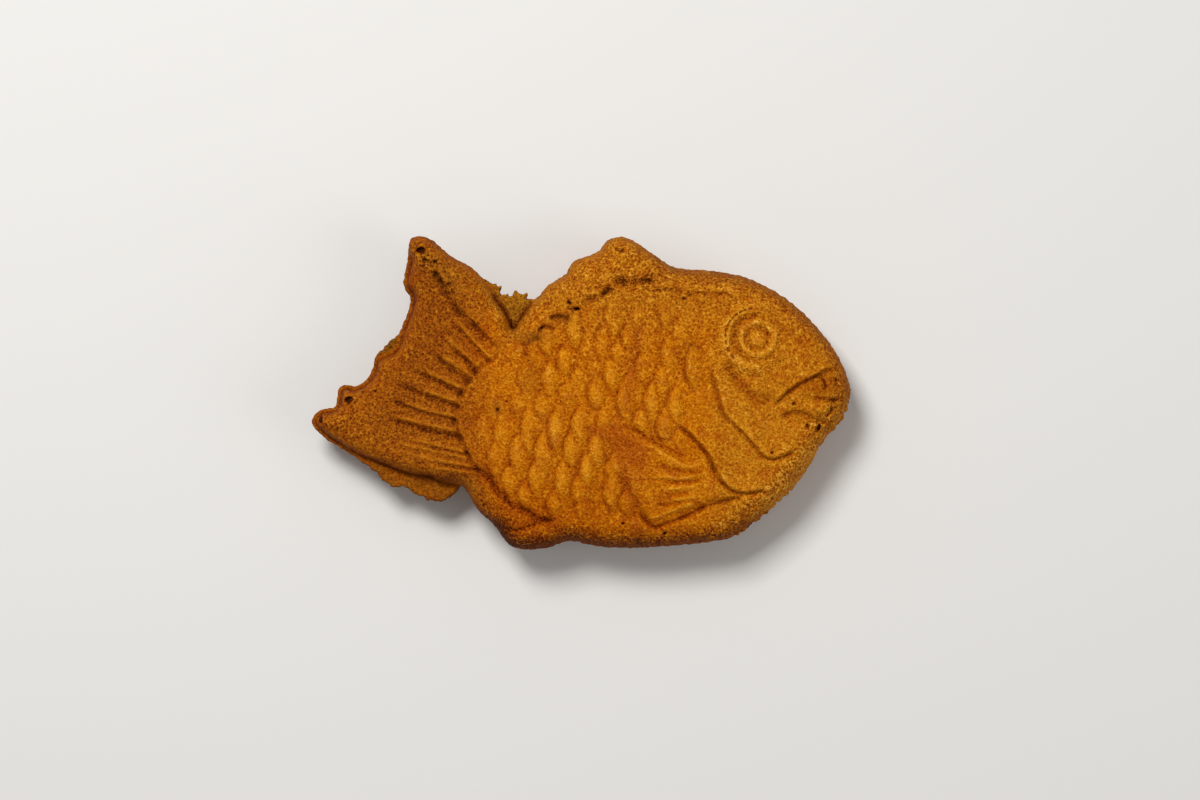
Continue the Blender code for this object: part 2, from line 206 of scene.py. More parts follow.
def depth_of_half(points, inward):
    """How far one half stands off the seam: its rounded side and the swell of its flank, without relief."""
    x, y = points.T
    body = smooth(TAIL_ROOT_X - TAIL_BLEND, TAIL_ROOT_X + TAIL_BLEND, x)
    off = np.hypot((x - CROWN_MIDDLE[0]) / CROWN_REACH[0], (y - CROWN_MIDDLE[1]) / CROWN_REACH[1])
    crown = CROWN * np.exp(-CROWN_FALL * off**CROWN_FLATNESS)
    full = TAIL_DEPTH + (BODY_DEPTH - TAIL_DEPTH + crown) * body
    run = TAIL_SIDE_RUN + (BODY_SIDE_RUN - TAIL_SIDE_RUN) * body
    turn = 1 - np.clip(inward / run, 0, 1)
    side = (1 - turn**SIDE_SQUARENESS) ** (1 / SIDE_SQUARENESS)
    return FLASH_HALF_THICKNESS + (full - FLASH_HALF_THICKNESS) * side


# The tail
# A fan of rays that the iron presses in: narrow ridges with a groove below each, deepest where they meet the
# body, and a raised rim along its upper edge. Ridges and grooves run from their outer end to the body.
TAIL_RIDGES = [[(-36.2, 21.6), (-32.3, 17.1), (-25.5, 9.8)], [(-38.7, 16.5), (-33.9, 12.0), (-28.9, 7.6)],
               [(-39.8, 10.3), (-35.3, 8.1), (-30.3, 4.5)], [(-43.7, 6.2), (-39.5, 4.2), (-33.1, 1.4)],
               [(-45.0, 1.0), (-39.5, -0.8), (-34.5, -2.5)], [(-50.5, -2.5), (-42.9, -5.0), (-35.3, -6.7)],
               [(-53.5, -6.4), (-45.1, -8.4), (-35.9, -10.4)],
               [(-49.3, -12.9), (-42.3, -14.3), (-33.1, -16.5)],
               [(-50.7, -16.8), (-41.8, -18.5), (-30.0, -21.0)],
               [(-47.1, -18.2), (-39.5, -19.3), (-31.1, -20.7)],
               [(-45.1, -20.4), (-38.1, -21.6), (-29.7, -22.7)],
               [(-43.7, -16.0), (-37.3, -17.1), (-32.3, -18.2)],
               [(-52.1, -14.0), (-47.4, -15.1), (-42.3, -16.0)]]
TAIL_GROOVES = [[(-36.0, 20.2), (-31.1, 14.8), (-25.5, 8.7)], [(-36.8, 12.8), (-32.8, 9.8), (-29.5, 5.6)],
                [(-41.8, 10.9), (-37.9, 7.8), (-31.7, 3.1)], [(-47.9, 6.7), (-40.6, 3.3), (-33.7, -0.3)],
                [(-52.7, 3.1), (-43.6, -0.9), (-34.5, -3.9)], [(-54.9, -2.0), (-44.6, -5.2), (-35.3, -7.6)],
                [(-55.8, -6.7), (-45.2, -10.0), (-33.4, -12.9)],
                [(-46.5, -14.6), (-39.5, -16.0), (-31.7, -17.4)],
                [(-43.7, -18.5), (-36.7, -20.2), (-29.7, -21.6)]]
RIDGE_HALF_WIDTH = 0.55
RIDGE_LIFT = 0.65
GROOVE_HALF_WIDTH = 0.65
GROOVE_DEPTH = 0.85
RAY_TAPER = 0.25


def strokes(points, routes, half_width, taper):
    """How far each point lies in the nearest of some strokes, which fade in from their first end."""
    held = np.zeros(len(points))
    for route in routes:
        far, _, along = nearest(points, spline(route, SEGMENT), reach=3 * half_width)
        held = np.maximum(held, np.exp(-((far / half_width) ** 2)) * smooth(0, taper, along))
    return held


def tail(points):
    """The pressed rays: their height, and how far each point lies on a ridge or in a groove."""
    ridges = strokes(points, TAIL_RIDGES, RIDGE_HALF_WIDTH, RAY_TAPER)
    grooves = strokes(points, TAIL_GROOVES, GROOVE_HALF_WIDTH, RAY_TAPER) * (1 - ridges)
    return RIDGE_LIFT * ridges - GROOVE_DEPTH * grooves, ridges, grooves


# The scales
# Pointed, lens-shaped bumps in staggered rows, each steep on the tail's side, where a fine line runs along
# its foot, and sloping off to the head. They were cut by hand into the iron, and the batter filled it
# unevenly. A scale is its place, half height and strength.
SCALES = [((-10.1, 14.6), 4.6, 1.0), ((-2.3, 17.4), 5.4, 0.9), ((-5.1, 9.0), 4.6, 1.0),
          ((-9.3, 3.4), 5.1, 1.0), ((1.1, 11.5), 3.8, 0.6), ((-1.2, 3.6), 3.8, 0.6),
          ((-4.3, -0.6), 3.8, 0.7), ((3.6, -0.3), 4.6, 0.9), ((5.8, 13.4), 5.9, 0.8),
          ((8.3, 21.8), 6.3, 0.8), ((10.0, 11.2), 3.3, 0.7), ((12.8, 15.7), 4.1, 0.7),
          ((15.6, 21.3), 4.1, 0.6), ((8.1, 5.3), 5.1, 0.7), ((16.7, 7.0), 4.6, 0.6),
          ((22.3, 3.6), 5.1, 0.8), ((24.0, 10.4), 5.4, 0.9), ((31.0, 7.3), 6.7, 1.0),
          ((19.5, -2.8), 6.3, 1.1), ((11.7, -2.8), 5.1, 0.9), ((16.5, -7.8), 3.8, 0.8),
          ((26.0, -3.6), 5.4, 1.0), ((22.9, -9.5), 4.6, 1.0), ((22.9, 23.5), 5.9, 0.6),
          ((27.7, 16.2), 5.4, 0.5), ((30.5, 25.2), 5.1, 0.4), ((1.9, 20.4), 5.1, 0.5),
          ((-13.5, 11.5), 5.1, 0.5), ((-19.4, 11.5), 4.1, 0.4), ((-21.3, 3.6), 5.1, 0.3),
          ((-16.0, 3.6), 5.1, 0.4), ((17.3, 14.0), 4.1, 0.4), ((3.6, 6.4), 4.1, 0.4),
          ((13.7, 2.2), 3.8, 0.4), ((-15.2, -10.4), 6.7, 0.9), ((-7.6, -10.6), 6.3, 1.1),
          ((-0.9, -9.5), 5.4, 1.0), ((6.1, -8.1), 4.6, 0.7), ((-11.3, -17.6), 6.3, 1.1),
          ((-18.3, -17.6), 5.9, 0.9), ((-3.1, -16.0), 5.4, 1.0), ((3.9, -16.0), 5.4, 1.2),
          ((-24.4, -19.0), 5.4, 0.7), ((-22.7, -11.2), 5.4, 0.6), ((1.3, -21.8), 5.1, 1.2),
          ((-5.7, -24.6), 5.9, 1.1), ((-12.9, -23.8), 5.4, 0.9), ((-20.5, -24.6), 4.6, 0.6),
          ((8.6, -22.1), 5.1, 0.8), ((8.1, -28.0), 5.9, 1.1), ((-0.9, -27.7), 5.1, 0.8),
          ((-7.9, -31.1), 4.6, 0.9), ((-16.0, -28.8), 4.1, 0.8), ((12.5, -30.8), 3.8, 0.8),
          ((0.2, -33.0), 3.8, 0.6), ((5.5, -34.2), 3.3, 0.5), ((-25.5, -3.4), 5.1, 0.4),
          ((-18.0, -3.4), 5.1, 0.4), ((-11.0, -3.4), 5.1, 0.7), ((-28.3, -10.4), 5.1, 0.4),
          ((-28.9, -1.4), 5.1, 0.3), ((-27.8, 5.9), 4.6, 0.3)]
SCALE_STEEP_HALF = 1.7
SCALE_SLOPING_HALF = 4.2
SCALE_LONGER = 1.12
SCALE_POINTED = 1.7
SCALE_THINNEST_TIP = 0.001
SCALE_END_SLOPE = 0.85
SCALE_BOW = 1.5
SCALE_HEIGHT = 1.1
SCALE_MIDDLE = 0.5
SCALE_CREST = 1.8
SCALE_CREST_AT = 0.35
SCALE_CREST_ENDS = 0.75
SCALE_CREST_LIFT = 0.25
SCALE_LINE = 0.38
SCALE_LINE_DEPTH = 0.38
SCALE_LINE_BOW = 0.6
SCALE_LINE_ENDS = 0.4
SCALE_WANDER = 0.35
WANDER_WAVE = 5.0
SCALES_ALONG = (-35.0, 36.0)
SCALES_ACROSS = (-38.0, 28.0)
SCALES_SOFT_EDGE = 6.0


def between(low, high, soft, value):
    """1 from low to high, and an even turn to 0 inside both ends."""
    return smooth(low, low + soft, value) * smooth(-high, soft - high, -value)


def scales(points):
    """The scales over the body: the height, and how far each point lies on a crest or in a valley."""
    x, y = points.T
    shown = between(*SCALES_ALONG, SCALES_SOFT_EDGE, x) * between(*SCALES_ACROSS, SCALES_SOFT_EDGE, y)
    x = x + SCALE_WANDER * rough(points, WANDER_WAVE, octaves=2, seed=3.0)
    height = np.zeros(len(points))
    crest = np.zeros(len(points))
    valley = np.zeros(len(points))
    for (middle_x, middle_y), half_height, strength in SCALES:
        dy = (y - middle_y) / (half_height * SCALE_LONGER)
        dx = x - middle_x + SCALE_CREST_AT - SCALE_BOW * dy**2
        width = np.where(dx < 0, SCALE_STEEP_HALF, SCALE_SLOPING_HALF)
        tip = np.clip(1 - np.abs(dy) ** SCALE_POINTED, SCALE_THINNEST_TIP, 1)
        bump = np.clip(1 - (dx / (width * tip)) ** 2, 0, 1) * tip**SCALE_END_SLOPE * strength
        height = np.maximum(height, bump)
        off_crest = (dx - SCALE_CREST_AT) / (SCALE_CREST * np.sqrt(tip))
        crest = np.maximum(crest, np.exp(-(off_crest**2)) * tip**SCALE_CREST_ENDS * strength)
        off_line = (dx + SCALE_STEEP_HALF * (1 - SCALE_LINE_BOW + SCALE_LINE_BOW * tip)) / SCALE_LINE
        line = np.exp(-(off_line**2)) * smooth(0, SCALE_LINE_ENDS, tip) * min(strength, 1)
        valley = np.maximum(valley, line)
    valley *= 1 - crest.clip(0, 1)
    lift = SCALE_HEIGHT * (height - SCALE_MIDDLE) + SCALE_CREST_LIFT * crest - SCALE_LINE_DEPTH * valley
    return lift * shown, crest * shown, valley * shown


# The fin on the chest
# A raised fan with its root at the gill cover, laid back over the belly, with a few pressed rays.
CHEST_FIN = [(2.8, -10.1), (8.4, -9.9), (14.0, -11.2), (20.0, -13.8), (29.0, -18.2), (36.0, -22.0),
             (43.5, -27.6), (36.0, -31.0), (28.0, -33.6), (20.8, -36.6), (17.4, -34.6), (13.2, -28.0),
             (10.8, -21.0), (7.6, -15.4)]
CHEST_FIN_SPACING = 1.0
CHEST_FIN_LIFT = 0.75
CHEST_FIN_EDGE = 2.2
CHEST_RAYS = [[(8.6, -9.8), (12.5, -9.5), (16.5, -11.5), (19.3, -13.2), (22.1, -14.8), (24.9, -16.0),
               (28.2, -17.6)], [(18.7, -19.0), (22.1, -19.9), (25.4, -21.3), (29.3, -22.1), (33.3, -22.1)],
              [(21.5, -24.6), (27.7, -25.2), (33.3, -24.6)], [(23.2, -28.6), (26.3, -28.6), (29.3, -28.3)],
              [(20.7, -31.4), (24.3, -31.4), (28.2, -30.8)]]
CHEST_RIDGES = [[(16.5, -14.6), (20.4, -15.1), (23.5, -17.4), (26.3, -19.0), (29.1, -20.7), (32.7, -20.2)],
                [(19.8, -23.0), (23.5, -23.5), (27.7, -24.1), (31.0, -23.5)],
                [(24.0, -27.2), (27.7, -26.6), (31.6, -26.3)],
                [(25.4, -30.0), (28.5, -29.7), (31.6, -29.1)],
                [(17.9, -33.9), (20.9, -35.0), (24.3, -33.6), (27.7, -32.5), (31.0, -31.6)]]
CHEST_RAY_HALF_WIDTH = 0.52
CHEST_RAY_DEPTH = 0.42
CHEST_HOLLOW = [((12.5, -14.5), (6.5, 5.0), 0, 1.0)]
CHEST_HOLLOW_DEPTH = 0.7


def off_middle(points, middle, half, turn):
    """How far points lie from an oval's middle, where 1 is its edge."""
    a = math.radians(turn)
    gap = (points - np.array(middle)) @ np.array([[math.cos(a), -math.sin(a)], [math.sin(a), math.cos(a)]])
    return np.hypot(gap[:, 0] / half[0], gap[:, 1] / half[1])


def soft_ovals(points, ovals):
    """The strongest of some ovals that fade out: each is its middle, half sizes, turn and strength."""
    return np.max([strong * np.exp(-off_middle(points, middle, half, turn) ** 2)
                   for middle, half, turn, strong in ovals], axis=0)


def chest_fin(points):
    """The raised fan: its height, and how far each point lies on it, its rays, its ridges and its hollow."""
    edge = spline(CHEST_FIN, CHEST_FIN_SPACING, closed=True)
    far, _, _ = nearest(points, edge, closed=True, reach=CHEST_FIN_EDGE)
    held = smooth(0, CHEST_FIN_EDGE, far) * inside(points, edge)
    rays = strokes(points, CHEST_RAYS, CHEST_RAY_HALF_WIDTH, RAY_TAPER)
    ridges = strokes(points, CHEST_RIDGES, CHEST_RAY_HALF_WIDTH, RAY_TAPER)
    hollow = soft_ovals(points, CHEST_HOLLOW)
    height = held * (CHEST_FIN_LIFT - CHEST_HOLLOW_DEPTH * hollow) - CHEST_RAY_DEPTH * (rays - ridges)
    return height, held, rays, ridges, hollow * held


# The head's plates and the other fins
# Grooves part the gill cover, cheek, jaw, lips and the feet of the fins, and have a raised edge where a plate
# overlaps the next. A line is its route, the groove's half width and depth, and the step up on its left. A
# bulge or a dent is an oval that fades out.
LINES = {
    "gill_cover": ([(26.6, -9.0), (29.1, -10.8), (32.3, -13.9), (35.6, -17.8), (37.5, -22.0), (39.3, -25.1),
                    (42.1, -27.4), (46.3, -28.3), (52.4, -27.4)], 0.6, 1.0, 1.2),
    "gill_fold": ([(35.2, -18.4), (37.2, -21.2), (39.4, -24.6), (42.0, -29.0)], 0.5, 0.4, 0.0),
    "cheek": ([(36.3, 8.0), (36.8, 4.8), (38.3, -1.0), (40.0, -6.3), (45.8, -12.1), (49.2, -16.0),
               (51.5, -18.2), (54.3, -18.6), (58.5, -17.1), (61.5, -15.4)], 0.5, 0.8, 1.2),
    "jaw": ([(52.6, -3.0), (55.1, -2.8), (58.2, 0.3), (61.3, 2.2), (64.6, 3.9), (67.4, 5.3), (70.5, 6.4),
             (74.6, 6.8)], 0.6, 1.2, 0.6),
    "jaw_back": ([(40.0, 8.0), (41.2, 7.0), (44.2, 2.9), (47.7, -0.6), (50.6, -2.0),
                  (54.5, -3.0)], 1.3, 0.75, 0.0),
    "lower_lip": ([(55.4, -7.6), (57.7, -6.3), (60.3, -5.6), (63.1, -6.5), (65.9, -7.7), (69.2, -8.6),
                   (72.6, -9.4)], 0.65, 1.3, 0.0),
    "mouth": ([(64.6, -2.1), (67.5, -1.8), (70.5, -2.1), (75.6, -1.8)], 0.5, 1.0, 0.0),
    "lip_wrinkle": ([(67.2, 4.4), (68.4, 2.6), (68.0, 0.6)], 0.32, 1.0, 0.0),
    "lip_furrow": ([(71.0, 4.6), (71.6, 2.6), (71.0, 0.8)], 0.32, 0.9, 0.0),
    "lip_end": ([(70.8, -4.2), (69.8, -5.5), (68.8, -7.3)], 0.45, 0.9, 0.0),
    "brow": ([(52.6, 21.8), (57.3, 17.6), (62.6, 13.0)], 0.5, 0.35, 0.0),
    "shoulder": ([(28.0, 16.0), (28.8, 9.4), (28.6, 3.4)], 1.2, 0.15, 0.7),
    "back_fin_foot": ([(-18.5, 15.1), (-16.9, 14.3), (-15.2, 14.0), (-13.2, 14.6),
                       (-11.8, 15.7)], 0.8, 0.8, 0.0),
    "back_fin_crease": ([(-12.1, 17.1), (-10.7, 18.2), (-9.0, 18.3), (-7.3, 17.4)], 0.5, 1.1, 0.0),
    "back_fin_fold": ([(-9.0, 20.4), (-7.3, 21.3), (-5.1, 21.3), (-3.4, 20.2)], 0.5, 1.3, 0.0),
    "back_fin_streak": ([(-4.3, 23.8), (-2.6, 23.4), (-0.1, 23.5)], 0.35, 0.8, 0.0),
    "back_fin_middle": ([(-0.1, 25.2), (2.5, 26.0), (5.3, 26.9), (7.2, 28.3), (8.9, 29.7)], 0.7, 0.9, 0.0),
    "back_fin_front": ([(8.6, 30.5), (10.9, 31.4), (13.1, 30.2), (15.3, 30.5), (18.1, 31.6),
                        (20.9, 31.4)], 0.9, 0.7, 0.0),
    "first_scale": ([(-10.8, 17.4), (-11.4, 15.4), (-11.3, 13.2)], 0.35, 0.7, 0.0),
    "back_edge": ([(18.5, 28.0), (24.3, 28.8), (30.5, 28.1), (36.8, 27.6), (41.0, 27.6),
                   (43.6, 24.6)], 0.5, 0.6, 0.4),
    "belly_fin_foot": ([(-33.0, -19.0), (-28.5, -22.0), (-25.5, -24.4), (-23.6, -27.7), (-21.9, -29.1),
                        (-19.4, -31.7), (-17.1, -32.5), (-14.3, -33.6), (-12.7, -35.2), (-9.9, -35.8),
                        (-6.5, -37.0)], 0.8, 1.1, 0.0),
    "belly_fin_fold": ([(-22.0, -38.8), (-20.5, -38.6), (-17.1, -38.4), (-14.3, -37.4), (-11.5, -36.3),
                        (-8.0, -35.6)], 0.55, 0.8, 0.0),
    "belly_fin_edge": ([(-29.6, -27.0), (-27.2, -30.8), (-25.0, -34.2), (-23.0, -37.2),
                        (-20.0, -39.8)], 1.0, 0.7, 0.0),
    "tail_root": ([(-22.2, 10.8), (-27.6, 7.6), (-33.0, 1.0), (-35.4, -5.6), (-35.2, -9.6), (-33.2, -14.4),
                   (-29.6, -21.4)], 0.8, 0.5, 0.8),
    "tail_upper_rim": ([(-41.8, 35.0), (-35.3, 23.9), (-31.1, 20.0), (-22.4, 10.9)], 1.0, 0.65, 0.6),
    "chest_fin_upper": ([(5.0, -12.0), (8.6, -21.0), (12.3, -25.8), (14.5, -29.2),
                         (16.7, -33.0)], 0.5, 0.4, 0.0),
    "chest_fin_under": ([(16.5, -32.2), (17.3, -34.9), (20.4, -37.8), (24.0, -36.7), (27.8, -35.4),
                         (34.2, -32.3), (39.5, -30.7), (47.5, -28.8)], 0.6, 1.2, 0.0),
}
BULGES = [((66.9, 1.6), (7.0, 2.6), 17, 0.8), ((65.2, -4.4), (6.5, 2.0), -8, 0.75),
          ((57.3, -3.8), (2.4, 2.2), 0, 0.5), ((60.3, -13.6), (8.0, 4.5), -20, 0.5),
          ((46.0, -4.5), (4.5, 7.5), 15, 0.5), ((35.6, -6.6), (3.5, 11.0), 20, 0.5),
          ((34.0, 26.0), (9.0, 3.0), 0, 0.3), ((9.0, 34.5), (9.0, 4.0), 20, 0.5),
          ((-20.0, -35.0), (3.0, 2.5), 0, 0.5), ((-14.5, -40.5), (4.0, 1.8), 0, 0.4),
          ((-9.8, 28.0), (3.0, 2.0), 40, 0.3)]
DENTS = [((-5.6, 21.0), (2.2, 0.8), 0, 0.5), ((-10.2, 18.3), (1.8, 0.7), 0, 0.5),
         ((-18.9, 19.0), (1.5, 3.6), 8, 0.8), ((7.2, 28.6), (1.6, 1.2), 25, 0.6),
         ((12.0, 31.0), (2.0, 0.9), 0, 0.6), ((18.6, 31.4), (2.4, 1.3), 10, 0.7),
         ((-18.8, 17.6), (1.2, 2.6), 20, 0.7), ((-6.0, 36.2), (0.7, 3.2), -35, 0.3),
         ((22.0, 33.6), (4.5, 0.8), -35, 0.4)]
STEP_FADE = 3.4
EDGE_AT = 1.2
EDGE_HALF_WIDTH = 0.7
EDGE_LIFT = 0.15
LINE_TAPER = 0.12
LINE_UNEVEN = 0.5
LINE_WAVE = 4.0


def head_and_fin_lines(points):
    """The lines' height, and how far each point lies in a groove or on a raised edge."""
    height = np.zeros(len(points))
    line = np.zeros(len(points))
    edge = np.zeros(len(points))
    patchy = 1 + LINE_UNEVEN * rough(points, LINE_WAVE, octaves=2, seed=9.0)
    for route, half_width, depth, step in LINES.values():
        far, side, along = nearest(points, spline(route, SEGMENT), reach=3 * STEP_FADE)
        ends = between(0, 1, LINE_TAPER, along)
        groove = np.exp(-((far / half_width) ** 2)) * patchy
        raised = step * smooth(0, half_width, far) * np.exp(-far / STEP_FADE) * (side > 0)
        ridge = np.exp(-(((far - EDGE_AT) / EDGE_HALF_WIDTH) ** 2)) * (side > 0) * min(step, 1) * ends
        height += (raised - depth * groove) * ends + EDGE_LIFT * ridge
        line = np.maximum(line, min(depth, 1) * groove * ends)
        edge = np.maximum(edge, ridge)
    return height, line, edge


# The eye
# A round pupil in two raised rings, the outer one pocked on its left and lost on its right. A ring is its
# middle, radius, half width, height and how far it is lost.
PUPIL = (49.3, 15.2)
EYE_RINGS = [((49.4, 15.2), 4.6, 1.15, 1.2, 0.0), ((48.5, 15.4), 8.1, 1.6, 1.3, 0.6)]
RING_FLATNESS = 3.0
RING_LOST = (-0.5, 0.7)
PUPIL_RADIUS = 2.9
PUPIL_HEIGHT = 1.1
PUPIL_FLATNESS = 0.6
BETWEEN_RINGS = 0.95


def eye(points):
    """The pupil and its rings: their height, and how far each point lies on one of them or between them."""
    far = np.hypot(*(points - np.array(PUPIL)).T)
    pupil = np.clip(1 - (far / PUPIL_RADIUS) ** 2, 0, 1) ** PUPIL_FLATNESS
    height = PUPIL_HEIGHT * pupil
    raised = pupil
    for middle, radius, half_width, lift, lost in EYE_RINGS:
        gap = points - np.array(middle)
        far = np.hypot(*gap.T)
        kept = 1 - lost * smooth(*RING_LOST, gap[:, 0] / radius)
        ring = np.exp(-np.abs((far - radius) / half_width) ** RING_FLATNESS) * kept
        height = height + lift * ring
        raised = np.maximum(raised, ring)
    hollow = smooth(radius + half_width, radius, far) * (1 - raised)
    return height, raised - BETWEEN_RINGS * hollow


# The burst bubbles
# Air in the batter bursts against the hot iron and leaves pits, mostly where the batter was thin: the tail's
# tips and rim, the fins and the lips. Their floors are darker the deeper they go: browner batter and painted
# shade together. A pit is its place, half sizes, turn and depth.
PITS = [((-45.1, 40.0), (1.25, 0.8), 10, 1.8), ((-44.0, 37.2), (0.6, 0.5), 0, 1.0),
        ((-41.0, 36.7), (0.65, 0.45), 20, 1.0), ((-40.9, 33.2), (0.5, 0.7), 20, 0.9),
        ((-39.3, 31.3), (0.7, 0.35), 125, 0.6), ((-37.4, 30.2), (0.4, 0.6), 150, 0.6),
        ((-36.0, 28.3), (0.9, 0.35), 115, 0.6), ((-65.3, -2.0), (1.15, 0.8), 20, 1.8),
        ((-73.2, -7.6), (0.5, 1.2), 0, 1.2), ((-61.4, 0.2), (0.4, 0.35), 0, 0.8),
        ((-57.8, 0.4), (0.4, 0.3), 0, 0.7), ((-23.3, -4.8), (0.5, 0.4), 0, 0.9),
        ((-20.8, -2.5), (0.35, 0.3), 0, 0.6), ((-3.3, 25.2), (0.7, 0.4), 150, 1.0),
        ((-1.2, 23.5), (0.9, 0.5), 0, 1.1), ((11.0, 39.9), (1.2, 0.45), 165, 0.9),
        ((11.7, -36.7), (0.5, 0.4), 0, 0.8), ((23.5, -39.5), (0.6, 0.45), 0, 1.0),
        ((63.5, -9.5), (0.5, 0.85), 10, 1.2), ((66.6, -9.9), (0.55, 1.0), -10, 1.4),
        ((59.6, -3.1), (0.45, 0.4), 0, 0.8), ((53.4, -16.8), (0.55, 0.4), 0, 0.9),
        ((28.8, 26.3), (0.5, 0.4), 0, 0.8), ((30.6, 27.2), (0.5, 0.35), 0, 0.8)]
POCKED_AT = (98, 109, 119, 129, 138, 147, 156, 166, 177, 190, 205, 221)
POCK_HALF = (0.55, 0.3)
POCK_TURN = 90
POCK_DEPTH = 0.7
PIT_RINGS = (0.0, 0.45, 0.75, 1.0, 1.25)
PIT_CORNERS = 12
PIT_WALL = 0.35

ring_middle, ring_radius = EYE_RINGS[1][:2]
for t in np.radians(POCKED_AT):
    place = np.array(ring_middle) + ring_radius * np.array([math.cos(t), math.sin(t)])
    PITS.append((tuple(place), POCK_HALF, math.degrees(t) + POCK_TURN, POCK_DEPTH))


def pit_depths(points):
    """How deep the burst bubbles go at each point, and how far each point lies in one."""
    depth = np.zeros(len(points))
    held = np.zeros(len(points))
    for middle, half, turn, deep in PITS:
        here = 1 - smooth(1 - PIT_WALL, 1 + PIT_WALL, off_middle(points, middle, half, turn))
        depth = np.maximum(depth, deep * here)
        held = np.maximum(held, here)
    return depth, held


def pit_points():
    """Rings of extra points round each pit, so that its edge is crisp."""
    found = []
    for middle, half, turn, _ in PITS:
        a = math.radians(turn)
        for ring in PIT_RINGS:
            count = 1 if ring == 0 else PIT_CORNERS
            t = np.arange(count) / count * 2 * math.pi + ring
            u, v = half[0] * ring * np.cos(t), half[1] * ring * np.sin(t)
            found.append(np.stack([middle[0] + u * math.cos(a) - v * math.sin(a),
                                   middle[1] + u * math.sin(a) + v * math.cos(a)], 1))
    return np.vstack(found)


# The crust
# The whole cake is one body of batter, browned where it touched the iron: two sheets, the upper one in a
# finer net, that share the rim of the flash. It is uneven in slow waves, in lumps and in fine crumbs, each
# of them a wave's length and its height.
UPPER_SPACING = 0.46
UNDER_SPACING = 0.78
UPPER_RINGS = (0.02, 0.09, 0.2, 0.36, 0.58, 0.88, 1.22, 1.6, 2.05, 2.5, 3.0, 3.5, 4.0, 4.5)
UNDER_RINGS = (0.02, 0.12, 0.3, 0.6, 1.05, 1.6, 2.3, 3.1, 4.0)
RELIEF_STARTS = 0.9
RELIEF_FULL = 3.8
CLEARANCE = 0.18
TOUCHING = 1e-4
SAME_PLACE = 1e-5
ONLY_INSIDE = 1
RIM_DECIMALS = 3
SWELL = (11.0, 0.16)
LUMPS = (3.1, 0.09)
CRUMBS = (1.2, 0.1)
SIDE_LUMPS = (1.7, 0.3)
ROUGH_SIDE = 3.0
NEARER = 1.0075
VIEW_AIM = np.array([5.26, -1.96])

# Zones where the crust baked or crumbled otherwise, or where painted shade falls, in mm along x and y: each
# turns from none to full.
ZONES = {
    "tail": {"x": (-20, -38)},
    "head": {"x": (30, 42)},
    "forehead": {"x": (10, 30), "y": (-10, 0)},
    "chin": {"x": (30, 40), "y": (0, -8)},
    "belly": {"y": (-30, -38)},
    "belly_fin": {"x": (-4, -10), "y": (-27, -33)},
    "back": {"y": (-5, 25)},
    "back_rim": {"x": (-24, -12), "y": (8, 28)},
    "back_fin": {"x": (-18, -8), "y": (22, 30)},
    "upper_half": {"y": (0, 8)},
    "upper_flash": {"y": (-10, 15)},
    "lower_flank": {"x": (30, 15), "y": (15, -5)},
}
# How much browner than its middle a zone or a form of the relief is. Grooves, dents and hollows are darker
# and crests, ridges, rings, raised edges and the chest fin lighter: browner and paler batter, with painted
# shade in the hollows and painted highlight on the raised forms.
BAKE_MIDDLE = 0.472
BAKE_ZONES = {"tail": 0.16, "belly_fin": 0.09, "back": 0.06, "head": -0.02}
# The darkening on the belly's side is painted shade, as that side faces away from the key light; on the
# forehead's side it is browner batter.
SIDES_BAKED_AND_SHADED = {"forehead": 0.12, "belly": 0.33}
RELIEF_BAKE_AND_SHADE = {"line": 0.25, "dent": 0.25, "groove": 0.21, "valley": 0.19, "hollow": 0.06,
               "ridge": -0.2, "ring": -0.2, "crest": -0.17, "edge": -0.1, "fin": -0.04}
BAKE_FLASH = 0.06
# The streak along the tail's upper rim is lighter: paler batter, with painted highlight where it faces the key
# light.
BAKE_PALE_LIT_RIM = -0.08
# Pits darken with their depth: browner batter and painted shade together.
PIT_BAKE_AND_SHADE = 0.3
# A band of painted shade at the foot of the tail's lower wall, where it meets the flash.
PAINTED_FOOT_SHADE = 0.3
FOOT_WIDTH = 0.45
# Painted shade in the crevice of the notch over the tail, reaching out over its flash.
PAINTED_NOTCH_SHADE = 0.42
NOTCH_FADE = (1.0, -0.2)
NOTCH_ON_FLASH = 0.5
FLASH_FROM = 1.2
SIDE_FROM = (5.0, 0.5)
# Darker ovals: painted shade in bands above the belly's lower edge, along the tail's lower edge and on the
# belly fin, and darker batter on both lips.
SCORCHES_AND_SHADE = [((0.0, -34.0), (26.0, 7.0), 0, 0.1), ((67.0, 2.5), (9.0, 3.5), 0, 0.16),
            ((70.0, -10.0), (4.0, 3.0), 30, 0.1), ((-33.0, -22.5), (10.0, 2.0), 12, 0.16),
            ((-20.0, -36.0), (5.0, 5.0), 0, 0.12)]
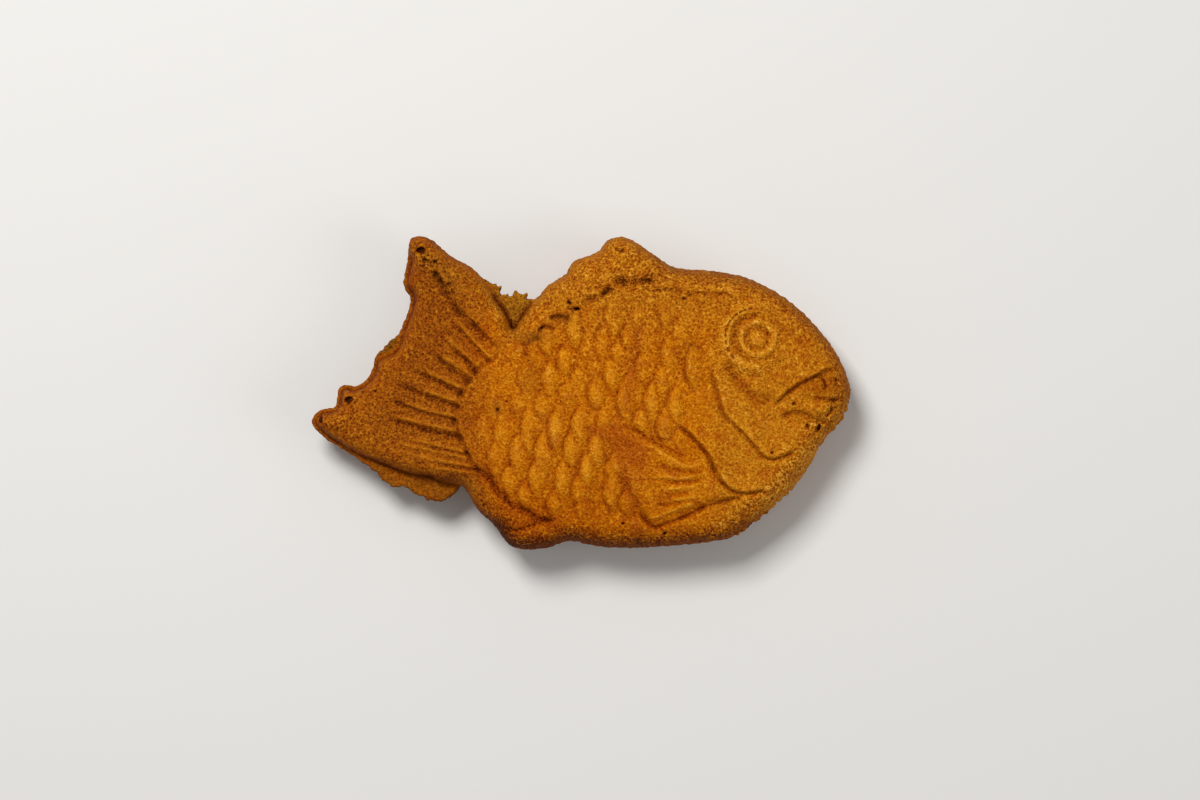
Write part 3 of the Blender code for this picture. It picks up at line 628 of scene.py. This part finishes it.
# How red: the tail, the grooves, the flank's lower part, and streaks where the crust is thinnest. On the head
# it goes below none, so that the small patches of blush don't show there.
RED_TAIL = 0.76
RED_TAIL_FROM = (0.5, 5.0)
RED_DARK = 0.6
RED_VALLEY = 0.75
RED_FLANK = 0.12
RED_HEAD = -0.45
RED_STREAKS = 1.2
REDDENED = [([(-33.9, -17.4), (-28.9, -20.2), (-25.5, -25.8), (-19.9, -32.2), (-10.1, -35.8),
              (-5.4, -35.0)], 1.5, 0.45),
            ([(2.5, -10.4), (9.5, -13.2), (11.4, -21.6), (14.2, -31.4), (16.5, -41.2)], 1.3, 1.0),
            ([(9.5, -12.0), (12.5, -14.5), (15.5, -18.0)], 3.5, 0.9),
            ([(16.5, 17.6), (14.2, 3.6), (12.3, -2.0)], 1.8, 0.7),
            ([(-56.3, -19.3), (-45.1, -23.2), (-36.7, -24.2)], 1.4, 1.0),
            ([(10.9, 31.4), (20.7, 31.4)], 1.6, 0.9), ([(-36.5, 27.5), (-29.0, 15.0)], 1.5, 1.0),
            ([(-51.0, 3.0), (-40.0, -1.0)], 1.2, 0.9), ([(-53.0, -3.6), (-41.0, -7.0)], 1.2, 0.9),
            ([(-53.0, -9.0), (-41.0, -12.4)], 1.2, 0.9), ([(21.0, -20.6), (31.0, -25.0)], 1.0, 0.4)]
# How pale: the rim, the back, the head, the flash and a streak along the tail's upper rim, which is paler
# batter with painted highlight where the rim faces the key light.
PALE_RIM = 0.6
PALE_BACK = 0.5
PALE_HEAD = 0.45
PALE_TAIL = 0.4
PALE_FLASH_LOW = 0.3
PALE_LIT_RIM = [([(-43.5, 38.5), (-38.0, 33.6), (-32.0, 28.0), (-27.5, 22.0)], 3.0, 0.3)]
# How coarse the crumb is, from 1 on the flank's middle: coarser at the rim and the tips, finer on crests and
# on the upright sides. Smudges are spots of burnt oil on the flank, and painted shade in the creases along the
# back fin's foot and by the notch.
CRUMB_RIM = 0.45
CRUMB_RIM_FROM = (7.0, 1.0)
CRUMB_BACK = 0.4
CRUMB_CHIN = 0.75
CRUMB_CHIN_FROM = (9.0, 3.0)
CRUMB_CREST = -0.3
CRUMB_WALL = -0.4
CRUMB_WALL_FROM = (2.0, 0.3)
CRUMBLY_TIPS = [((-44.5, 39.5), (5.0, 4.5), 0, 0.6), ((-69.5, -5.5), (7.0, 6.0), 0, 0.6)]
# Three of these, along the back fin's foot and by the notch, are painted shade in creases; the rest are spots
# of burnt oil.
SMUDGES_AND_SHADE = [((-14.3, 3.6), (2.6, 4.0), 0, 0.6), ((-23.4, -4.6), (1.4, 2.4), 0, 0.8),
           ((-14.5, 15.6), (5.2, 2.0), 0, 1.0), ((-22.7, 13.2), (2.0, 3.0), 0, 0.6),
           ((-5.6, 20.6), (3.2, 1.5), 0, 0.8), ((-40.0, 33.0), (3.0, 1.6), -50, 0.15),
           ((30.0, 12.0), (2.5, 4.0), 0, 0.3)]
LOOK_RANGE = (-1.0, 1.8)


def drawn(points):
    """Where points show in the photograph when its scale is set at the seam: the flank is a little nearer."""
    return VIEW_AIM + (points - VIEW_AIM) * NEARER


def net(spacing, side_rings, extra):
    """A net over the fish seen from above: its points, its triangles, and which points lie on the rim."""
    flash_edge = rim - FLASH_EDGE_RADIUS * outwards(rim)
    off_wall = nearest(flash_edge, wall, closed=True)[0]
    rings = [flash_edge[(off_wall > CLEARANCE) & ~inside(flash_edge, wall)]]
    lengths = np.hypot(*(np.roll(wall, -1, axis=0) - wall).T)
    ends = np.concatenate([[0], np.cumsum(lengths)])
    steps = np.linspace(0, ends[-1], round(ends[-1] / spacing), endpoint=False)
    closed_wall = np.vstack([wall, wall[:1]])
    side_line = np.column_stack([np.interp(steps, ends, closed_wall[:, i]) for i in (0, 1)])
    for ring in (0, *side_rings):
        loose = side_line - ring * outwards(side_line)
        rings.append(loose[nearest(loose, side_line, closed=True)[0] > ring - min(CLEARANCE, ring) / 2])
    rings = np.vstack(rings)
    rings = rings[inside(rings, rim) & (nearest(rings, rim, closed=True)[0] > CLEARANCE)]
    low, high = rim.min(0), rim.max(0)
    across = np.arange(low[0], high[0], spacing)
    up = np.arange(low[1], high[1], spacing * math.sqrt(3) / 2)
    across, up = np.meshgrid(across, up)
    across[1::2] += spacing / 2
    even = np.stack([across.ravel(), up.ravel()], 1)
    even = even[inside(even, rim)]
    clear = np.where(inside(even, wall), side_rings[-1] + spacing / 2, CLEARANCE)
    even = even[nearest(even, wall, closed=True)[0] > clear]
    even = even[nearest(even, rim, closed=True)[0] > FLASH_EDGE_RADIUS + CLEARANCE]
    points = np.vstack([rim, rings, even, extra])
    border = [list(range(len(rim)))]
    flat, _, faces, *_ = delaunay_2d_cdt([Vector(p) for p in points], [], border, ONLY_INSIDE, SAME_PLACE)
    points = np.array([tuple(p) for p in flat])
    faces = np.array([list(face) for face in faces])
    on_rim = nearest(points, rim, closed=True)[0] < TOUCHING
    corner = on_rim[faces].all(axis=1)
    a, b, c = faces[corner].T
    added = len(points) + np.arange(len(a))
    split = [np.column_stack(three) for three in ((a, b, added), (b, c, added), (c, a, added))]
    points = np.vstack([points, (points[a] + points[b] + points[c]) / 3])
    return points, np.vstack([faces[~corner], *split]), np.concatenate([on_rim, np.zeros(len(a), bool)])


def soft_streaks(points, streaks):
    """The strongest of some streaks that fade out: each is its route, half width and strength."""
    return np.max([strong * np.exp(-(nearest(points, spline(route, SEGMENT), reach=3 * wide)[0] / wide) ** 2)
                   for route, wide, strong in streaks], axis=0)


def browning_and_shade(points, to_wall, is_in, off_mould, relief):
    """How brown, red, pale, crumbly and smudged each point of a flank is, painted shade and highlight
    included.
    """
    at = dict(zip("xy", points.T))
    zone = {name: np.prod([smooth(*turn, at[axis]) for axis, turn in turns.items()], axis=0)
            for name, turns in ZONES.items()}
    seen = drawn(points)
    inward = to_wall * is_in
    flash = smooth(0, FLASH_FROM, off_mould)
    side = smooth(*SIDE_FROM, inward) * (1 - flash)
    # Paler batter and painted highlight along the tail's upper rim.
    pale_lit_rim = soft_streaks(seen, PALE_LIT_RIM)

    # Darker ovals: painted shade low on the belly, the tail and the belly fin, darker batter on the lips.
    bake_and_shade = BAKE_MIDDLE + BAKE_FLASH * flash + BAKE_PALE_LIT_RIM * pale_lit_rim + soft_ovals(seen, SCORCHES_AND_SHADE)
    bake_and_shade += sum(more * zone[name] for name, more in BAKE_ZONES.items())
    # Painted shade on the belly's side, and browner batter on the forehead's side.
    bake_and_shade += sum(more * zone[name] * side for name, more in SIDES_BAKED_AND_SHADED.items())
    # Painted shade in grooves, dents and hollows and painted highlight on raised forms, with their real
    # browning.
    bake_and_shade += sum(more * relief[name] for name, more in RELIEF_BAKE_AND_SHADE.items())
    # Painted shade at the foot of the tail's lower wall.
    bake_and_shade += PAINTED_FOOT_SHADE * np.exp(-((to_wall / FOOT_WIDTH) ** 2)) * near_routes(points, [tail_edge])
    # Painted shade in the crevice of the notch over the tail.
    off_foot = to_wall * np.where(is_in, 1, NOTCH_ON_FLASH)
    bake_and_shade += PAINTED_NOTCH_SHADE * near_routes(points, [notch]) * smooth(*NOTCH_FADE, off_foot)

    red = RED_TAIL * zone["tail"] * smooth(*RED_TAIL_FROM, inward)
    red += RED_DARK * (relief["line"] + relief["dent"])
    red = np.maximum(red, RED_STREAKS * soft_streaks(seen, REDDENED))
    red += RED_FLANK * zone["lower_flank"] + RED_VALLEY * relief["valley"] + RED_HEAD * zone["head"]

    pale = np.maximum(PALE_RIM * side * (1 - zone["tail"]), PALE_BACK * zone["back_rim"])
    pale += flash * (PALE_FLASH_LOW + (1 - PALE_FLASH_LOW) * zone["upper_flash"])
    pale = np.maximum(pale, PALE_HEAD * zone["head"]) + PALE_TAIL * zone["tail"] + pale_lit_rim

    coarse = np.maximum(smooth(*CRUMB_RIM_FROM, inward), CRUMB_BACK * zone["upper_half"]) * (1 - zone["tail"])
    crumb = 1 + CRUMB_RIM * np.maximum(coarse, zone["back_fin"]) + soft_ovals(seen, CRUMBLY_TIPS)
    crumb += CRUMB_CREST * (relief["crest"] + relief["ridge"])
    crumb += CRUMB_CHIN * smooth(*CRUMB_CHIN_FROM, inward) * zone["chin"]
    crumb *= 1 + CRUMB_WALL * smooth(*CRUMB_WALL_FROM, inward)

    look = {"bake_and_shade": bake_and_shade, "red": red, "pale": pale, "crumb": crumb, "smudge_and_shade": soft_ovals(seen, SMUDGES_AND_SHADE)}
    return {name: np.clip(value, *LOOK_RANGE) for name, value in look.items()}


def flank(points, on_rim):
    """One flank over a net: its depth from the seam, how far it bends off the seam, and its look."""
    to_rim = nearest(points, rim, closed=True)[0]
    to_wall = nearest(points, wall, closed=True)[0]
    is_in = inside(points, wall)
    inward = to_wall * is_in
    off_mould = nearest(points, outline, closed=True)[0] * ~inside(points, outline)
    seen = drawn(points)
    fin, on_fin, fin_rays, fin_ridges, hollow = chest_fin(seen)
    rays, ridge, groove = tail(seen)
    scale, crest, valley = scales(seen)
    lines, line, edge = head_and_fin_lines(seen)
    eyes, ring = eye(seen)
    dent = soft_ovals(seen, DENTS)
    free = 1 - on_fin
    height = rays + scale * free + fin + eyes + lines + soft_ovals(seen, BULGES) - dent
    shown = smooth(RELIEF_STARTS, RELIEF_FULL, inward)
    rounding = np.sqrt(1 - (1 - np.clip(to_rim / FLASH_EDGE_RADIUS, 0, 1)) ** 2)
    depth = (depth_of_half(points, inward) + height * shown) * rounding
    depth[on_rim] = 0
    ripple = SHEET_RIPPLE * rough(points, RIPPLE_WAVE, 1) * smooth(SHEET_FROM, 3 * SHEET_FROM, off_mould)
    relief = {"line": line, "dent": dent, "groove": groove + fin_rays, "valley": valley * free,
              "hollow": hollow, "ridge": ridge + fin_ridges, "ring": ring, "crest": crest * free,
              "edge": edge, "fin": on_fin}
    relief = {name: share * shown for name, share in relief.items()}
    return depth, ripple, browning_and_shade(points, to_wall, is_in, off_mould, relief)


def crust_mesh():
    """The cake's closed mesh, with how brown, red, pale, crumbly and smudged it is, painted shade included, as
    attributes.
    """
    extra = VIEW_AIM + (pit_points() - VIEW_AIM) / NEARER
    upper, upper_faces, upper_rim = net(UPPER_SPACING, UPPER_RINGS, extra)
    under, under_faces, under_rim = net(UNDER_SPACING, UNDER_RINGS, np.zeros((0, 2)))
    depth, ripple, look = flank(upper, upper_rim)
    under_depth, under_ripple, under_look = flank(under, under_rim)
    pits, in_pit = pit_depths(drawn(upper))
    # Browner batter and painted shade in the pits, the deeper ones darker.
    look["bake_and_shade"] = look["bake_and_shade"] + PIT_BAKE_AND_SHADE * pits
    look["red"] = np.maximum(look["red"], in_pit)
    low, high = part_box("taiyaki")
    even_lip = even_rim + FLASH_LIP * outwards(even_rim)
    cad_middle = np.array([(low.x + high.x) / 2, (low.y + high.y) / 2]) / MM
    shift = (even_lip.min(0) + even_lip.max(0)) / 2 - cad_middle
    top = np.column_stack([upper - shift, SEAM_HEIGHT + ripple + depth - pits])
    bottom = np.column_stack([under - shift, np.maximum(SEAM_HEIGHT + under_ripple - under_depth, 0)])
    upper_seam = upper[upper_rim].round(RIM_DECIMALS).tolist()
    on_seam = {tuple(p): i for i, p in zip(np.flatnonzero(upper_rim), upper_seam)}
    number = np.empty(len(under), int)
    number[under_rim] = [on_seam[tuple(p)] for p in under[under_rim].round(RIM_DECIMALS).tolist()]
    number[~under_rim] = len(upper) + np.arange((~under_rim).sum())
    places = np.vstack([top, bottom[~under_rim]])
    mesh = bpy.data.meshes.new("taiyaki_crust")
    mesh.from_pydata(places.tolist(), [], np.vstack([upper_faces, number[under_faces[:, ::-1]]]).tolist())
    mesh.validate()

    normals = np.array([tuple(v.vector) for v in mesh.vertex_normals])
    off_seam = np.abs(places[:, 2] - SEAM_HEIGHT)
    both = {name: np.concatenate([value, under_look[name][~under_rim]]) for name, value in look.items()}
    push = sum(tall * rough(places, wave, 2, wave) for wave, tall in (SWELL, LUMPS, CRUMBS))
    push *= both["crumb"] ** 2
    wave, tall = SIDE_LUMPS
    near_seam = 1 - smooth(ROUGH_SIDE, 2 * ROUGH_SIDE, off_seam)
    push += tall * rough(places, wave, octaves=3, seed=5.0) * near_seam
    push[upper_rim.nonzero()[0]] = 0
    places = places + push[:, None] * normals
    places[:, 2] = np.maximum(places[:, 2], 0)
    mesh.vertices.foreach_set("co", (places * MM).ravel())
    for name, value in both.items():
        mesh.attributes.new(name, "FLOAT", "POINT").data.foreach_set("value", value.astype(np.float32))
    mesh.shade_smooth()
    return mesh


# Baked waffle batter, pressed against oiled iron: golden brown, dry to the eye, with a fine crumb of 0.5 to
# 1 mm grains and pores that catches the light as speckle, with short light crinkles, larger mottles and small
# patches of blush. It is darker in the grooves, partly browner batter and partly painted shade, and redder on
# the tail. Sizes are in mm, and a noise is its size, detail and roughness. The colours go from hardly baked,
# 0, to burnt, 1, and the same scale carries the painted shade and highlight.
BAKED_COLOURS = {0.0: "#E8AC44", 0.2: "#D88C18", 0.35: "#C87808", 0.5: "#B46200", 0.65: "#A24E00",
                 0.8: "#8E3A00", 1.0: "#541A00"}
RED_COLOURS = {0.0: "#C67A30", 0.2: "#BC6C1C", 0.35: "#B25E0A", 0.5: "#A14C03", 0.65: "#8A3B02",
               0.8: "#6E2900", 1.0: "#3A1200"}
PALE_COLOURS = {0.0: "#E8B050", 0.2: "#D4942C", 0.35: "#C0801A", 0.5: "#A96D12", 0.65: "#90580E",
                0.8: "#6C3A08", 1.0: "#3A1C02"}
SMUDGE_AND_SHADE_COLOUR = "#74480E"
NOISES = {"grain": (0.55, 2.0, 0.7), "mottle": (6.0, 3.0, 0.75), "blush": (3.5, 2.0, 0.6),
          "crinkle": (1.5, 1.0, 0.5)}
NOISE_MIDDLE = 0.5
GRAIN_SHARE = -0.98
MOTTLE_SHARE = 0.16
CURL_SIZE = 0.85
CURL_BEND = 0.7
CURL_MIDDLE = 0.45
CURL_SHARE = -0.35
CRINKLE_WIDTH = 0.055
CRINKLE_MIDDLE = 0.3
CRINKLE_SHARE = -0.2
BLUSH_FROM = (0.47, 0.68)
BLUSH_SHARE = 0.75
BLUSH_ON_RED = -0.7
BLUSH_ON_PALE = -0.45
RED_PATCHES_FROM = (0.35, 0.62)
RED_PATCHES = (0.7, 1.2)
CURL_RELIEF = 0.7
CRINKLE_RELIEF = 0.25
BUMP_HEIGHT = 0.4
GLOSS_FROM = (0.3, 0.7)
ROUGHNESS = (0.8, 0.62)
SHEEN_OF_OIL = 0.05
BATTER_IOR = 1.45
# Where a colour mix has its share, its two colours and its result.
MIX_SHARE, MIX_FIRST, MIX_SECOND, MIX_RESULT = 0, 6, 7, 2


def linear(colour):
    """A colour written as sRGB hex, as linear light."""
    parts = [int(colour[i:i + 2], 16) / 255 for i in (1, 3, 5)]
    return [c / 12.92 if c <= 0.04045 else ((c + 0.055) / 1.055) ** 2.4 for c in parts] + [1.0]


def add(tree, kind, inputs=(), **settings):
    """Adds a node with its own settings, and gives each named input a value or links it to an output."""
    made = tree.nodes.new("ShaderNode" + kind)
    for name, value in settings.items():
        setattr(made, name, value)
    for socket, value in dict(inputs).items():
        if isinstance(value, bpy.types.NodeSocket):
            tree.links.new(value, made.inputs[socket])
        else:
            made.inputs[socket].default_value = value
    return made


def stops(ramp, colours):
    """Sets a colour ramp's stops from a table of place and hex colour."""
    while len(ramp.elements) < len(colours):
        ramp.elements.new(0.5)
    for element, (place, colour) in zip(ramp.elements, sorted(colours.items())):
        element.position = place
        element.color = linear(colour)


def baked_batter():
    """The crust's material. Its brownness, painted shade and highlight, redness, paleness, crumb and smudges
    come from the mesh.
    """
    material = bpy.data.materials.new("baked_waffle_batter")
    material.use_nodes = True
    tree = material.node_tree
    shader = tree.nodes["Principled BSDF"]
    # The brownness attribute carries painted shade and highlight with the browning; the smudge attribute
    # carries painted shade in the back fin's creases with the smudges.
    bake_and_shade, crumb, red, pale, smudge_and_shade = [add(tree, "Attribute", attribute_name=name).outputs["Fac"]
                                      for name in ("bake_and_shade", "crumb", "red", "pale", "smudge_and_shade")]
    place = add(tree, "TexCoord").outputs["Object"]
    place = add(tree, "VectorMath", {0: place, "Scale": 1 / MM}, operation="SCALE").outputs[0]
    noises = [add(tree, "TexNoise", {"Vector": place, "Scale": 1 / size, "Detail": fine, "Roughness": harsh})
              for size, fine, harsh in NOISES.values()]
    grain, mottle, blush, crinkle = [made.outputs["Fac"] for made in noises]
    bend = add(tree, "VectorMath", {0: noises[0].outputs["Color"], "Scale": CURL_BEND}, operation="SCALE")
    bent = add(tree, "VectorMath", {0: bend.outputs[0], 1: place}, operation="ADD")
    curl = add(tree, "TexVoronoi", {"Vector": bent.outputs[0], "Scale": 1 / CURL_SIZE}).outputs["Distance"]
    crinkle = add(tree, "Math", {0: crinkle, 1: NOISE_MIDDLE}, operation="SUBTRACT")
    crinkle = add(tree, "Math", {0: crinkle.outputs[0]}, operation="ABSOLUTE")
    crinkle = add(tree, "MapRange", {"Value": crinkle.outputs[0], "From Max": CRINKLE_WIDTH,
                                     "To Min": 1.0, "To Max": 0.0}).outputs[0]

    for texture, share, middle in ((grain, GRAIN_SHARE, NOISE_MIDDLE), (mottle, MOTTLE_SHARE, NOISE_MIDDLE),
                                   (curl, CURL_SHARE, CURL_MIDDLE), (crinkle, CRINKLE_SHARE, CRINKLE_MIDDLE)):
        off = add(tree, "Math", {0: texture, 1: middle}, operation="SUBTRACT")
        part = add(tree, "Math", {0: off.outputs[0], 1: crumb}, operation="MULTIPLY")
        bake_and_shade = add(tree, "Math", {0: part.outputs[0], 1: share, 2: bake_and_shade}, operation="MULTIPLY_ADD").outputs[0]
    clamped = {"operation": "MULTIPLY_ADD", "use_clamp": True}
    blush = add(tree, "MapRange", {"Value": blush, "From Min": BLUSH_FROM[0], "From Max": BLUSH_FROM[1],
                                   "To Max": BLUSH_SHARE})
    even = add(tree, "Math", {0: red, 1: BLUSH_ON_RED, 2: 1.0}, **clamped)
    blush = add(tree, "Math", {0: blush.outputs[0], 1: even.outputs[0]}, operation="MULTIPLY").outputs[0]
    patchy = add(tree, "MapRange", {"Value": mottle, "From Min": RED_PATCHES_FROM[0],
                                    "From Max": RED_PATCHES_FROM[1], "To Min": RED_PATCHES[0],
                                    "To Max": RED_PATCHES[1]})
    red = add(tree, "Math", {0: red, 1: patchy.outputs[0], 2: blush}, **clamped)
    pale = add(tree, "Math", {0: blush, 1: BLUSH_ON_PALE, 2: pale}, **clamped)
    smudge_and_shade = add(tree, "Math", {0: smudge_and_shade, 1: mottle}, operation="MULTIPLY", use_clamp=True)

    ramps = []
    for colours in (BAKED_COLOURS, RED_COLOURS, PALE_COLOURS):
        ramp = add(tree, "ValToRGB", {"Fac": bake_and_shade})
        stops(ramp.color_ramp, colours)
        ramps.append(ramp.outputs[0])
    colour = ramps[0]
    # The smudge colour also paints shade in the creases at the back fin's foot.
    for share, other in ((red, ramps[1]), (pale, ramps[2]), (smudge_and_shade, linear(SMUDGE_AND_SHADE_COLOUR))):
        mixed = add(tree, "Mix", {MIX_SHARE: share.outputs[0], MIX_FIRST: colour, MIX_SECOND: other},
                    data_type="RGBA")
        colour = mixed.outputs[MIX_RESULT]
    tree.links.new(colour, shader.inputs["Base Color"])

    height = add(tree, "Math", {0: curl, 1: CURL_RELIEF, 2: grain}, operation="MULTIPLY_ADD")
    height = add(tree, "Math", {0: crinkle, 1: CRINKLE_RELIEF, 2: height.outputs[0]}, operation="MULTIPLY_ADD")
    bump = add(tree, "Bump", {"Height": height.outputs[0], "Distance": BUMP_HEIGHT * MM, "Strength": 1.0})
    tree.links.new(bump.outputs[0], shader.inputs["Normal"])
    gloss = add(tree, "MapRange", {"Value": grain, "From Min": GLOSS_FROM[0], "From Max": GLOSS_FROM[1],
                                   "To Min": ROUGHNESS[0], "To Max": ROUGHNESS[1]})
    tree.links.new(gloss.outputs[0], shader.inputs["Roughness"])
    shader.inputs["IOR"].default_value = BATTER_IOR
    shader.inputs["Specular IOR Level"].default_value = SHEEN_OF_OIL
    return material


cake = bpy.data.objects.new("taiyaki_crust", crust_mesh())
bpy.context.scene.collection.objects.link(cake)
cake.data.materials.append(baked_batter())
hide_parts("taiyaki")
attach(cake, "root")

# The stage
# A plain pale floor, one large soft light from the fish's back, a weak one from its belly and a pale sky,
# with the camera straight above, as the photograph was taken.
FLOOR_SIZE = 4.0
FLOOR_COLOUR = "#D8D6D2"
FLOOR_ROUGHNESS = 0.9
SKY_STRENGTH = 0.3
KEY_LIGHT = ((-0.3, 0.5, 0.95), 0.36, 11.3)
FILL_LIGHT = ((1.0, -0.3, 0.6), 0.7, 3.4)
PIXEL = 0.28 * MM
FRAME_WIDTH = 1200
CAMERA_DISTANCE = 1.5
FILM_WIDTH = 36.0

floor_mesh = bpy.data.meshes.new("floor")
half = FLOOR_SIZE / 2
floor_corners = [(-half, -half, 0), (half, -half, 0), (half, half, 0), (-half, half, 0)]
floor_mesh.from_pydata(floor_corners, [], [(0, 1, 2, 3)])
floor = bpy.data.objects.new("floor", floor_mesh)
bpy.context.scene.collection.objects.link(floor)
paper = bpy.data.materials.new("matt_pale_paper")
paper.use_nodes = True
paper.node_tree.nodes["Principled BSDF"].inputs["Base Color"].default_value = linear(FLOOR_COLOUR)
paper.node_tree.nodes["Principled BSDF"].inputs["Roughness"].default_value = FLOOR_ROUGHNESS
floor_mesh.materials.append(paper)

sky = bpy.data.worlds.new("pale_sky")
sky.use_nodes = True
sky.node_tree.nodes["Background"].inputs["Color"].default_value = (1, 1, 1, 1)
sky.node_tree.nodes["Background"].inputs["Strength"].default_value = SKY_STRENGTH
bpy.context.scene.world = sky
for name, (place, size, watts) in (("key_light", KEY_LIGHT), ("fill_light", FILL_LIGHT)):
    lamp = bpy.data.lights.new(name, "AREA")
    lamp.size = size
    lamp.energy = watts
    light = bpy.data.objects.new(name, lamp)
    light.location = place
    light.rotation_euler = (-Vector(place)).to_track_quat("-Z", "Y").to_euler()
    bpy.context.scene.collection.objects.link(light)

lens = bpy.data.cameras.new("camera")
lens.sensor_width = FILM_WIDTH
lens.lens = FILM_WIDTH * CAMERA_DISTANCE / (FRAME_WIDTH * PIXEL)
camera = bpy.data.objects.new("camera", lens)
camera.location = (VIEW_AIM[0] * MM, VIEW_AIM[1] * MM, SEAM_HEIGHT * MM + CAMERA_DISTANCE)
bpy.context.scene.collection.objects.link(camera)
bpy.context.scene.camera = camera
bpy.context.scene.view_settings.view_transform = "Standard"
